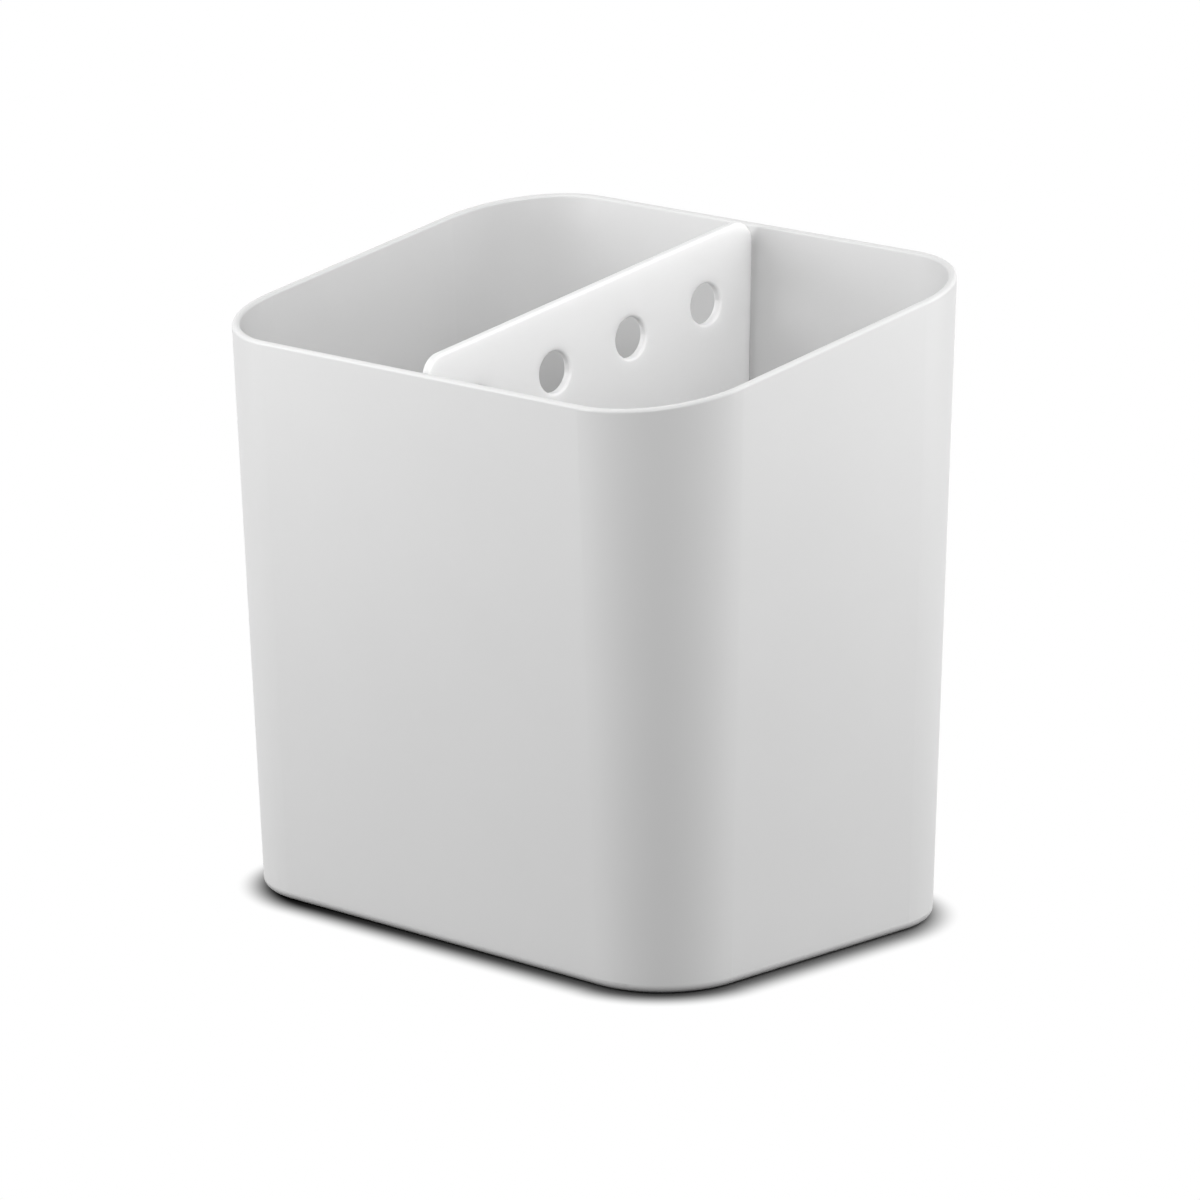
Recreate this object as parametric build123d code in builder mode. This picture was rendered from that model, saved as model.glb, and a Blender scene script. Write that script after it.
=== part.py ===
"""Cutlery drainer: a slant-topped tub with a raised drain grid and a lift-out divider.

Millimetres and degrees. X runs across the width, Y from the low front to the high back and
Z up. The origin is on the standing surface, under the middle of the tub.
"""

from build123d import *
import math
import os

os.makedirs("parts", exist_ok=True)

# Tub
base_width = 139.5
base_depth = 98.0
base_corner_radius = 20.5
wall_draft = 2.02
wall_thickness = 1.8
floor_thickness = 2.2
rim_height = 138.5
rim_slope = 9.55
rim_edge_radius = 0.7
lower_edge_radius = 2.1
floor_fillet_radius = 2.0

# Feet under the tub
foot_diameter = 10.0
foot_side_distance = 19.0
foot_stand = 0.3
foot_socket_depth = 0.8
foot_socket_clearance = 0.1
foot_edge_radius = 0.2

# Drain grid above the tub's floor
reservoir_depth = 12.0
grid_thickness = 2.5
grid_wall_clearance = 0.6
grid_edge_chamfer = 0.5
drain_hole_diameter = 4.5
drain_hole_pitch = 11.0
leg_width = 4.0
land_width = 1.5

# Channel and slots on the grid that hold the divider
channel_wall_thickness = 2.0
channel_height = 8.0
channel_clearance = 0.2
channel_end_distance = 6.0
tab_length = 14.0
tab_spacing = 46.0
tab_slot_clearance = 0.3

# Divider
divider_thickness = 2.2
divider_rise = 2.4
divider_end_clearance = 0.9
divider_corner_radius = 5.0
divider_edge_radius = 0.6
grip_hole_diameter = 9.5
grip_hole_drop = 15.45
grip_hole_pitch = 24.0
grip_hole_count = 4

# Levels of the stacked pieces
tub_bottom = foot_stand
floor_top = tub_bottom + floor_thickness
grid_bottom = floor_top + reservoir_depth
grid_top = grid_bottom + grid_thickness
channel_top = grid_top + channel_height
rim_plane = Plane.XY.offset(tub_bottom + rim_height).rotated((rim_slope, 0, 0))
blank_top = tub_bottom + rim_height + base_depth * math.tan(math.radians(rim_slope))


def outline(level, inset):
    """Width, depth and corner radius of the tapered outer wall at a level, moved inwards."""
    growth = (level - tub_bottom) * math.tan(math.radians(wall_draft)) - inset
    return base_width + 2 * growth, base_depth + 2 * growth, base_corner_radius + growth


def line_of_spots(low, high, pitch):
    """Evenly pitched places, as many as fit, centred between two ends."""
    gaps = math.floor((high - low) / pitch)
    start = (low + high - gaps * pitch) / 2
    return [start + index * pitch for index in range(gaps + 1)]


# Places of the feet, named from the front of the drainer
foot_x = base_width / 2 - foot_side_distance
foot_y = base_depth / 2 - foot_side_distance
foot_spots = {
    "front_left_foot": (-foot_x, -foot_y),
    "front_right_foot": (foot_x, -foot_y),
    "back_left_foot": (-foot_x, foot_y),
    "back_right_foot": (foot_x, foot_y),
}

# Tub: tapered shell with a closed floor, cut by the slanted plane of the rim
with BuildPart() as tub:
    with BuildSketch(Plane.XY.offset(tub_bottom)):
        RectangleRounded(*outline(tub_bottom, 0))
    extrude(amount=blank_top - tub_bottom, taper=-wall_draft)
    lower_face = tub.faces().sort_by(Axis.Z)[0]
    fillet(lower_face.edges(), radius=lower_edge_radius)

    with BuildSketch(Plane.XY.offset(floor_top)):
        RectangleRounded(*outline(floor_top, wall_thickness))
    extrude(amount=blank_top - floor_top, taper=-wall_draft, mode=Mode.SUBTRACT)
    floor_face = tub.faces().filter_by(Plane.XY).sort_by(Axis.Z)[1]
    fillet(floor_face.edges(), radius=floor_fillet_radius)

    split(bisect_by=rim_plane, keep=Keep.BOTTOM)
    rim_face = tub.faces().filter_by(rim_plane)[0]
    fillet(rim_face.edges(), radius=rim_edge_radius)

    with BuildSketch(Plane.XY.offset(tub_bottom)):
        with Locations(*foot_spots.values()):
            Circle(foot_diameter / 2 + foot_socket_clearance)
    extrude(amount=foot_socket_depth, mode=Mode.SUBTRACT)
tub.part.label = "tub"
export_step(tub.part, "parts/tub.step")

# Feet: round pads glued into the sockets, proud of the tub's floor
for foot_name, foot_spot in foot_spots.items():
    with BuildPart() as foot:
        with BuildSketch(Plane.XY):
            with Locations(foot_spot):
                Circle(foot_diameter / 2)
        extrude(amount=foot_stand + foot_socket_depth)
        fillet(foot.edges().sort_by(Axis.Z)[0], radius=foot_edge_radius)
    foot.part.label = foot_name
    export_step(foot.part, f"parts/{foot_name}.step")

# Drain grid: outline, fields of holes and legs, worked out from the tub's inner wall
grid_width, grid_depth, grid_corner_radius = outline(grid_bottom, wall_thickness + grid_wall_clearance)
leg_inset = floor_fillet_radius + leg_width / 2
field_inset = leg_inset + leg_width / 2 + land_width + drain_hole_diameter / 2
channel_half_gap = divider_thickness / 2 + channel_clearance
channel_half_width = channel_half_gap + channel_wall_thickness
field_start = channel_half_width + land_width + drain_hole_diameter / 2
hole_columns = line_of_spots(field_start, grid_width / 2 - field_inset, drain_hole_pitch)
hole_rows = line_of_spots(field_inset - grid_depth / 2, grid_depth / 2 - field_inset, drain_hole_pitch)
leg_x = grid_width / 2 - leg_inset
leg_y = grid_depth / 2 - leg_inset
leg_corner_x = grid_width / 2 - grid_corner_radius - leg_width / 2
leg_spots = [(side * leg_corner_x, end * leg_y) for side in (-1, 0, 1) for end in (-1, 1)]
leg_spots += [(side * leg_x, 0) for side in (-1, 1)]
tab_spots = [(0, -tab_spacing / 2), (0, tab_spacing / 2)]

with BuildPart() as drain_grid:
    with BuildSketch(Plane.XY.offset(grid_bottom)):
        RectangleRounded(grid_width, grid_depth, grid_corner_radius)
    extrude(amount=grid_thickness)
    chamfer(drain_grid.faces().sort_by(Axis.Z)[-1].edges(), length=grid_edge_chamfer)

    with BuildSketch(Plane.XY.offset(grid_bottom)):
        for side in (-1, 1):
            with Locations(*[(side * column, row) for column in hole_columns for row in hole_rows]):
                Circle(drain_hole_diameter / 2)
        with Locations(*tab_spots):
            Rectangle(divider_thickness + 2 * channel_clearance, tab_length + 2 * tab_slot_clearance)
    extrude(amount=grid_thickness, mode=Mode.SUBTRACT)

    channel_length = grid_depth - 2 * channel_end_distance
    channel_wall_x = channel_half_gap + channel_wall_thickness / 2
    with BuildSketch(Plane.XY.offset(grid_top)):
        with Locations((-channel_wall_x, 0), (channel_wall_x, 0)):
            Rectangle(channel_wall_thickness, channel_length)
    extrude(amount=channel_height)

    with BuildSketch(Plane.XY.offset(floor_top)):
        with Locations(*leg_spots):
            Rectangle(leg_width, leg_width)
    extrude(amount=reservoir_depth)
drain_grid.part.label = "drain_grid"
export_step(drain_grid.part, "parts/drain_grid.step")

# Divider: plate across the middle of the tub, its top edge parallel to the rim
divider_plane = Plane.YZ.offset(-divider_thickness / 2)
divider_inset = wall_thickness + divider_end_clearance
low_half_depth = outline(grid_top, divider_inset)[1] / 2
high_half_depth = outline(blank_top, divider_inset)[1] / 2
grip_hole_start = -grip_hole_pitch * (grip_hole_count - 1) / 2
grip_hole_spots = []
for index in range(grip_hole_count):
    hole_y = grip_hole_start + index * grip_hole_pitch
    rim_z = tub_bottom + rim_height + hole_y * math.tan(math.radians(rim_slope))
    grip_hole_spots.append((hole_y, rim_z + divider_rise - grip_hole_drop))

with BuildPart() as divider:
    with BuildSketch(divider_plane):
        with BuildLine():
            Polyline(
                (-low_half_depth, grid_top),
                (low_half_depth, grid_top),
                (high_half_depth, blank_top),
                (-high_half_depth, blank_top),
                close=True,
            )
        make_face()
    extrude(amount=divider_thickness)
    split(bisect_by=Plane(rim_plane.origin + (0, 0, divider_rise), z_dir=rim_plane.z_dir), keep=Keep.BOTTOM)
    fillet(divider.edges().filter_by(Axis.X).sort_by(Axis.Z)[-2:], radius=divider_corner_radius)

    with BuildSketch(divider_plane):
        with Locations(*grip_hole_spots):
            Circle(grip_hole_diameter / 2)
    extrude(amount=divider_thickness, mode=Mode.SUBTRACT)
    side_edges = divider.faces().filter_by(Plane.YZ).edges()
    fillet(side_edges.filter_by(lambda edge: edge.center().Z > channel_top), radius=divider_edge_radius)

    with BuildSketch(Plane.XY.offset(grid_bottom)):
        with Locations(*tab_spots):
            Rectangle(divider_thickness, tab_length)
    extrude(amount=grid_thickness)
divider.part.label = "divider"
export_step(divider.part, "parts/divider.step")
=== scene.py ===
"""Looks of the cutlery drainer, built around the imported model, in metres."""

import math

import bpy
from mathutils import Matrix, Vector

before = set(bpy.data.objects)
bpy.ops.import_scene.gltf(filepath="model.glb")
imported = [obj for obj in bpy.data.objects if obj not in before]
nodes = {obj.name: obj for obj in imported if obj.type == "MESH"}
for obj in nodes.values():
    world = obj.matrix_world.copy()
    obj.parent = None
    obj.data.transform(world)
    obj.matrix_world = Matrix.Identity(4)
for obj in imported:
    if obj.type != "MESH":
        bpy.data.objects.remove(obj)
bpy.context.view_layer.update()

MM = 0.001

# Camera: where it stands and what it frames, in the photograph's 1200 pixel frame
IMAGE_SIZE = 1200
CAMERA_AZIMUTH = 44.954
CAMERA_ELEVATION = 13.911
CAMERA_DISTANCE = 1.6056
CAMERA_ROLL = -0.58
CAMERA_TARGET_HEIGHT = 0.0696
FOCAL_PIXELS = 7172.7
CENTRE_SHIFT_PIXELS = -7.5
SENSOR_WIDTH = 36.0

# Lamps: azimuth, elevation and distance from the drainer, size and power
LAMP_AIM_HEIGHT = 0.07
LAMPS = {
    "low_left_softbox": {"azimuth": -45, "elevation": 5, "distance": 0.55, "size": 0.3, "watts": 1.3},
    "high_left_softbox": {"azimuth": -45, "elevation": 40, "distance": 0.55, "size": 0.4, "watts": 1.35},
    "low_right_softbox": {"azimuth": 135, "elevation": 5, "distance": 0.55, "size": 0.3, "watts": 1.45},
    "high_right_softbox": {"azimuth": 135, "elevation": 40, "distance": 0.55, "size": 0.4, "watts": 1.25},
    "front_softbox": {"azimuth": 45, "elevation": 30, "distance": 0.9, "size": 0.45, "watts": 3.95},
}
WORLD_LEVEL = 0.45

# Floor and background: white to the eye, paler grey as a light source
WHITE_LEVEL = 1.0
FLOOR_REACH = 6.0
FLOOR_ALBEDO = (0.06, 0.06, 0.06)

# Painted contact shadow, drawn into the floor's colour around the base: its tone at the left and right
# corners, where it fades, and how round its corners are
SHADOW_LEFT_ALBEDO = (0.005, 0.005, 0.005)
SHADOW_RIGHT_ALBEDO = (0.16, 0.16, 0.16)
SHADOW_TONE_REACH = 75.0 * MM
SHADOW_START = -0.5 * MM
SHADOW_END = 8.5 * MM
SHADOW_SIDE_CORNER_RADIUS = 25.5 * MM
SHADOW_FRONT_CORNER_RADIUS = 20.5 * MM
BASE_RING_HEIGHT = 2.0 * MM

# Plastics: darkest and lightest grey, finish, and how far light spreads inside; the plate's edge grey is a
# painted shade on its narrow sides
TUB_PLASTIC = {"dark": 0.60, "light": 0.62, "roughness": 0.42, "grain": 0.35}
GRID_PLASTIC = {"dark": 0.75, "light": 0.77, "roughness": 0.38, "grain": 0.2, "milkiness": 5.0 * MM}
PLATE_PLASTIC = {**GRID_PLASTIC, "edge": 0.58}
PLASTIC_IOR = 1.49

# Plastic texture: features per metre, how far the roughness wanders, and the depth of the grain
CLOUD_SCALE = 45.0
PATCH_SCALE = 160.0
GRAIN_SCALE = 2600.0
ROUGHNESS_SPREAD = 0.04
GRAIN_DEPTH = 0.02 * MM

# Rubber of the feet
RUBBER_DARK = (0.10, 0.10, 0.105)
RUBBER_LIGHT = (0.14, 0.14, 0.145)
RUBBER_SCALE = 900.0
RUBBER_ROUGHNESS = (0.7, 0.85)


def new_material(name):
    """An empty node material with a Principled shader, and its node tree."""
    material = bpy.data.materials.new(name)
    material.use_nodes = True
    tree = material.node_tree
    tree.nodes.clear()
    output = tree.nodes.new("ShaderNodeOutputMaterial")
    shader = tree.nodes.new("ShaderNodeBsdfPrincipled")
    tree.links.new(shader.outputs["BSDF"], output.inputs["Surface"])
    return material, tree, shader


def noise(tree, coordinates, scale, detail, roughness):
    """A noise texture in object space. The scale is in features per metre."""
    texture = tree.nodes.new("ShaderNodeTexNoise")
    texture.inputs["Scale"].default_value = scale
    texture.inputs["Detail"].default_value = detail
    texture.inputs["Roughness"].default_value = roughness
    tree.links.new(coordinates, texture.inputs["Vector"])
    return texture.outputs["Fac"]


def remap(tree, value, low, high):
    """The value from 0..1 spread between low and high."""
    node = tree.nodes.new("ShaderNodeMapRange")
    node.inputs["To Min"].default_value = low
    node.inputs["To Max"].default_value = high
    tree.links.new(value, node.inputs["Value"])
    return node.outputs["Result"]


def mix_colours(tree, value, first, second):
    """A colour between two, led by a value from 0 to 1. Each is a plain colour or a node's output."""
    node = tree.nodes.new("ShaderNodeMix")
    node.data_type = "RGBA"
    for socket, colour in (("A", first), ("B", second)):
        if isinstance(colour, tuple):
            node.inputs[socket].default_value = (*colour, 1.0)
        else:
            tree.links.new(colour, node.inputs[socket])
    tree.links.new(value, node.inputs["Factor"])
    return node.outputs["Result"]


def grey(level):
    """A neutral colour."""
    return (level, level, level)


def facing_sideways(tree):
    """1 where the surface faces left or right, and 0 where it faces any way square to that."""
    separate = tree.nodes.new("ShaderNodeSeparateXYZ")
    tree.links.new(tree.nodes.new("ShaderNodeTexCoord").outputs["Normal"], separate.inputs["Vector"])
    absolute = tree.nodes.new("ShaderNodeMath")
    absolute.operation = "ABSOLUTE"
    tree.links.new(separate.outputs["X"], absolute.inputs[0])
    return absolute.outputs["Value"]


def moulded_plastic(name, dark, light, roughness, grain, milkiness=0.0, edge=None):
    """Injection-moulded plastic: a faint cloudiness, a fine etched grain and a satin finish.

    Milkiness is how far light spreads inside. Edge is a darker grey painted on a thin upright plate's
    narrow sides: painted shade that keeps its top and ends from looking brighter under light from above.
    """
    material, tree, shader = new_material(name)
    place = tree.nodes.new("ShaderNodeTexCoord").outputs["Object"]
    clouds = noise(tree, place, CLOUD_SCALE, 3.0, 0.5)
    colour = mix_colours(tree, clouds, grey(dark), grey(light))
    # Painted shade: the plate's top and ends get the darker edge grey, against the stronger light they
    # catch from above
    if edge:
        colour = mix_colours(tree, facing_sideways(tree), grey(edge), colour)
    tree.links.new(colour, shader.inputs["Base Color"])
    patches = noise(tree, place, PATCH_SCALE, 2.0, 0.6)
    finish = remap(tree, patches, roughness - ROUGHNESS_SPREAD, roughness + ROUGHNESS_SPREAD)
    tree.links.new(finish, shader.inputs["Roughness"])
    etched = noise(tree, place, GRAIN_SCALE, 2.0, 0.65)
    bump = tree.nodes.new("ShaderNodeBump")
    bump.inputs["Strength"].default_value = grain
    bump.inputs["Distance"].default_value = GRAIN_DEPTH
    tree.links.new(etched, bump.inputs["Height"])
    tree.links.new(bump.outputs["Normal"], shader.inputs["Normal"])
    shader.inputs["IOR"].default_value = PLASTIC_IOR
    if milkiness:
        shader.inputs["Subsurface Weight"].default_value = 1.0
        shader.inputs["Subsurface Radius"].default_value = (1.0, 1.0, 1.0)
        shader.inputs["Subsurface Scale"].default_value = milkiness
    return material


def soft_rubber(name):
    """Matt rubber of the feet, with a slightly mottled tone."""
    material, tree, shader = new_material(name)
    place = tree.nodes.new("ShaderNodeTexCoord").outputs["Object"]
    mottle = noise(tree, place, RUBBER_SCALE, 3.0, 0.6)
    tree.links.new(mix_colours(tree, mottle, RUBBER_DARK, RUBBER_LIGHT), shader.inputs["Base Color"])
    tree.links.new(remap(tree, mottle, *RUBBER_ROUGHNESS), shader.inputs["Roughness"])
    return material


def dress(node_name, material):
    """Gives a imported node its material."""
    node = nodes[node_name]
    node.data.materials.clear()
    node.data.materials.append(material)


tub_plastic = moulded_plastic("satin_grey_plastic", **TUB_PLASTIC)
grid_plastic = moulded_plastic("milky_plastic", **GRID_PLASTIC)
plate_plastic = moulded_plastic("milky_plate_plastic", **PLATE_PLASTIC)
foot_rubber = soft_rubber("matt_rubber")
dress("tub", tub_plastic)
dress("drain_grid", grid_plastic)
dress("divider", plate_plastic)
for foot_name in ("front_left_foot", "front_right_foot", "back_left_foot", "back_right_foot"):
    dress(foot_name, foot_rubber)


def direction(azimuth, elevation):
    """Unit vector from the drainer. Azimuth 0 is the front, and 90 is the right side."""
    turn, lift = math.radians(azimuth), math.radians(elevation)
    return Vector((math.sin(turn) * math.cos(lift), -math.cos(turn) * math.cos(lift), math.sin(lift)))


def add_camera():
    """The photograph's camera: a long lens from the front right corner, a little above."""
    back = direction(CAMERA_AZIMUTH, CAMERA_ELEVATION)
    right = Vector((math.cos(math.radians(CAMERA_AZIMUTH)), math.sin(math.radians(CAMERA_AZIMUTH)), 0))
    up = back.cross(right)
    roll = math.radians(CAMERA_ROLL)
    right, up = math.cos(roll) * right + math.sin(roll) * up, math.cos(roll) * up - math.sin(roll) * right
    lens = bpy.data.cameras.new("camera")
    lens.sensor_width = SENSOR_WIDTH
    lens.lens = FOCAL_PIXELS / IMAGE_SIZE * SENSOR_WIDTH
    lens.shift_x = -CENTRE_SHIFT_PIXELS / IMAGE_SIZE
    lens.clip_start = 0.05
    lens.clip_end = 50.0
    camera = bpy.data.objects.new("camera", lens)
    bpy.context.scene.collection.objects.link(camera)
    place = Vector((0, 0, CAMERA_TARGET_HEIGHT)) + CAMERA_DISTANCE * back
    turn = Matrix((right, up, back)).transposed()
    camera.matrix_world = Matrix.Translation(place) @ turn.to_4x4()
    bpy.context.scene.camera = camera


def add_lamp(name, azimuth, elevation, distance, size, watts):
    """A square softbox that looks at the drainer's middle."""
    lamp = bpy.data.lights.new(name, "AREA")
    lamp.shape = "SQUARE"
    lamp.size = size
    lamp.energy = watts
    holder = bpy.data.objects.new(name, lamp)
    bpy.context.scene.collection.objects.link(holder)
    away = direction(azimuth, elevation)
    holder.location = Vector((0, 0, LAMP_AIM_HEIGHT)) + distance * away
    holder.rotation_euler = away.to_track_quat("Z", "Y").to_euler()
    holder.visible_camera = False


def seen_rays(tree):
    """1 for rays from the camera, a reflection or a clear material, and 0 for rays that only light."""
    path = tree.nodes.new("ShaderNodeLightPath")
    value = path.outputs["Is Camera Ray"]
    for kind in ("Is Glossy Ray", "Is Transmission Ray"):
        either = tree.nodes.new("ShaderNodeMath")
        either.operation = "MAXIMUM"
        tree.links.new(value, either.inputs[0])
        tree.links.new(path.outputs[kind], either.inputs[1])
        value = either.outputs["Value"]
    return value


def mix_shaders(tree, value, first, second):
    """A shader between two, led by a value from 0 to 1."""
    node = tree.nodes.new("ShaderNodeMixShader")
    tree.links.new(value, node.inputs["Fac"])
    tree.links.new(first, node.inputs[1])
    tree.links.new(second, node.inputs[2])
    return node.outputs["Shader"]


def background(tree, strength):
    """A plain white background of a strength."""
    node = tree.nodes.new("ShaderNodeBackground")
    node.inputs["Color"].default_value = (1, 1, 1, 1)
    node.inputs["Strength"].default_value = strength
    return node.outputs["Background"]


def add_world():
    """Even surroundings that light the drainer plainly and show white behind it."""
    world = bpy.data.worlds.new("surroundings")
    bpy.context.scene.world = world
    world.use_nodes = True
    tree = world.node_tree
    tree.nodes.clear()
    output = tree.nodes.new("ShaderNodeOutputWorld")
    shown = mix_shaders(tree, seen_rays(tree), background(tree, WORLD_LEVEL), background(tree, WHITE_LEVEL))
    tree.links.new(shown, output.inputs["Surface"])


def base_outline():
    """Half width and half depth of the tub's lower edge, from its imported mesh."""
    points = [vertex.co for vertex in nodes["tub"].data.vertices]
    lowest = min(point.z for point in points)
    ring = [point for point in points if point.z < lowest + BASE_RING_HEIGHT]
    return max(point.x for point in ring), max(point.y for point in ring)


def distance_outside(tree, steps, radius):
    """Length of the place on the floor after some vector steps, less a radius."""
    place = tree.nodes.new("ShaderNodeTexCoord").outputs["Object"]
    for operation, vector in steps:
        node = tree.nodes.new("ShaderNodeVectorMath")
        node.operation = operation
        tree.links.new(place, node.inputs[0])
        if vector:
            node.inputs[1].default_value = vector
        place = node.outputs["Vector"]
    length = tree.nodes.new("ShaderNodeVectorMath")
    length.operation = "LENGTH"
    tree.links.new(place, length.inputs[0])
    distance = tree.nodes.new("ShaderNodeMath")
    distance.operation = "SUBTRACT"
    distance.inputs[1].default_value = radius
    tree.links.new(length.outputs["Value"], distance.inputs[0])
    return distance.outputs["Value"]


def painted_shadow_distance(tree, half_width, half_depth):
    """Distance on the floor from the painted shadow's core: a rounded rectangle with a tighter front
    corner.
    """
    side, front = SHADOW_SIDE_CORNER_RADIUS, SHADOW_FRONT_CORNER_RADIUS
    rectangle = (
        ("ABSOLUTE", None),
        ("SUBTRACT", (half_width - side, half_depth - side, 0)),
        ("MAXIMUM", (0, 0, 0)),
    )
    disc = (("SUBTRACT", (half_width - front, front - half_depth, 0)),)
    nearest = tree.nodes.new("ShaderNodeMath")
    nearest.operation = "MINIMUM"
    tree.links.new(distance_outside(tree, rectangle, side), nearest.inputs[0])
    tree.links.new(distance_outside(tree, disc, front), nearest.inputs[1])
    return nearest.outputs["Value"]


def painted_shadow_tone(tree):
    """Colour of the painted contact shadow, painted darker on the left than on the right."""
    across = tree.nodes.new("ShaderNodeVectorMath")
    across.operation = "DOT_PRODUCT"
    across.inputs[1].default_value = (math.sqrt(0.5), math.sqrt(0.5), 0)
    tree.links.new(tree.nodes.new("ShaderNodeTexCoord").outputs["Object"], across.inputs[0])
    ramp = tree.nodes.new("ShaderNodeMapRange")
    ramp.inputs["From Min"].default_value = -SHADOW_TONE_REACH
    ramp.inputs["From Max"].default_value = SHADOW_TONE_REACH
    tree.links.new(across.outputs["Value"], ramp.inputs["Value"])
    return mix_colours(tree, ramp.outputs["Result"], SHADOW_LEFT_ALBEDO, SHADOW_RIGHT_ALBEDO)


def add_floor():
    """A white surface with a contact shadow painted around the drainer's base, and little else. Inside the
    painted band the lamps still cast some real shade.
    """
    mesh = bpy.data.meshes.new("floor")
    corners = [(x * FLOOR_REACH, y * FLOOR_REACH, 0) for x, y in ((-1, -1), (1, -1), (1, 1), (-1, 1))]
    mesh.from_pydata(corners, [], [(0, 1, 2, 3)])
    floor = bpy.data.objects.new("floor", mesh)
    bpy.context.scene.collection.objects.link(floor)

    material = bpy.data.materials.new("floor_white")
    material.use_nodes = True
    tree = material.node_tree
    tree.nodes.clear()
    output = tree.nodes.new("ShaderNodeOutputMaterial")
    lighting = tree.nodes.new("ShaderNodeBsdfDiffuse")
    lighting.inputs["Color"].default_value = (*FLOOR_ALBEDO, 1)
    painted_shadow = tree.nodes.new("ShaderNodeBsdfDiffuse")
    tree.links.new(painted_shadow_tone(tree), painted_shadow.inputs["Color"])
    white = tree.nodes.new("ShaderNodeEmission")
    white.inputs["Color"].default_value = (1, 1, 1, 1)
    white.inputs["Strength"].default_value = WHITE_LEVEL
    fade = tree.nodes.new("ShaderNodeMapRange")
    fade.interpolation_type = "SMOOTHSTEP"
    fade.inputs["From Min"].default_value = SHADOW_START
    fade.inputs["From Max"].default_value = SHADOW_END
    tree.links.new(painted_shadow_distance(tree, *base_outline()), fade.inputs["Value"])
    # Painted shadow: near the base the floor shows a dark painted tone, which fades to white with distance
    # from the base outline
    seen = mix_shaders(tree, fade.outputs["Result"], painted_shadow.outputs["BSDF"], white.outputs["Emission"])
    shown = mix_shaders(tree, seen_rays(tree), lighting.outputs["BSDF"], seen)
    tree.links.new(shown, output.inputs["Surface"])
    mesh.materials.append(material)


add_camera()
for lamp_name, settings in LAMPS.items():
    add_lamp(lamp_name, **settings)
add_world()
add_floor()
bpy.context.scene.view_settings.view_transform = "Standard"
